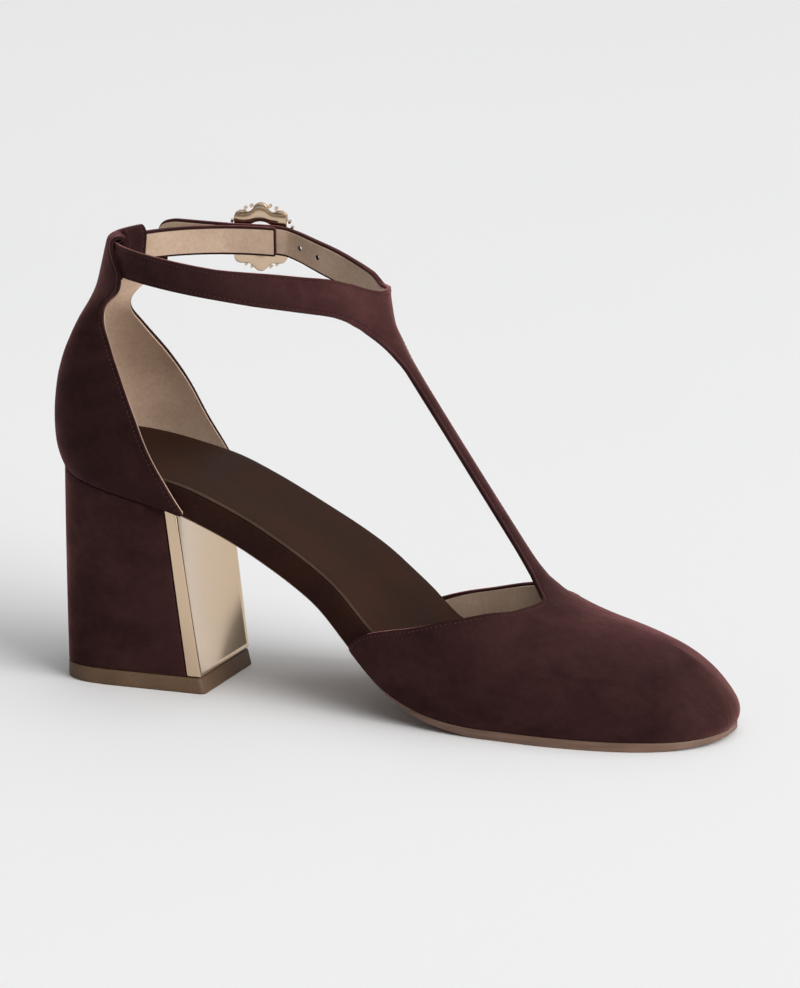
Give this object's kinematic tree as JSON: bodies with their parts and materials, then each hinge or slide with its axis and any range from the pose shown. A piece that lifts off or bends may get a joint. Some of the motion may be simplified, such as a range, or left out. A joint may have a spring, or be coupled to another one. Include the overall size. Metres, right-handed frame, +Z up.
{
  "type": "t-bar pump shoe",
  "caption": "Left suede T-bar pump with ankle strap, jewelled ring buckle, open sides and a covered block heel with a polished breast plate.",
  "frame": {"origin": "centre of the shoe's box, on the floor under it", "axes": "+X to the toe, +Y to the outer (lateral, buckle) side, +Z up"},
  "size_m": [0.223, 0.0769, 0.1439],
  "materials": {
    "suede": "napped suede",
    "insole_cover": "matt",
    "sock_leather": "smooth",
    "sole_leather": "trimmed edge",
    "top_piece": "matt",
    "gold": "polished pale gold",
    "stone": "cut and polished"
  },
  "bodies": {
    "root": {"vamp_upper": "suede", "heel_quarter": "suede", "insole": "insole_cover", "sock_lining": "sock_leather", "outsole": "sole_leather", "heel_block": "suede", "heel_breast_plate": "gold", "heel_top_piece": "top_piece", "buckle_frame": "gold", "buckle_prong": "gold", "buckle_stone_1": "stone", "buckle_stone_2": "stone", "buckle_stone_3": "stone", "buckle_stone_4": "stone", "buckle_stone_5": "stone", "buckle_stone_6": "stone", "buckle_stone_7": "stone", "buckle_stone_8": "stone"}
  },
  "joints": []
}
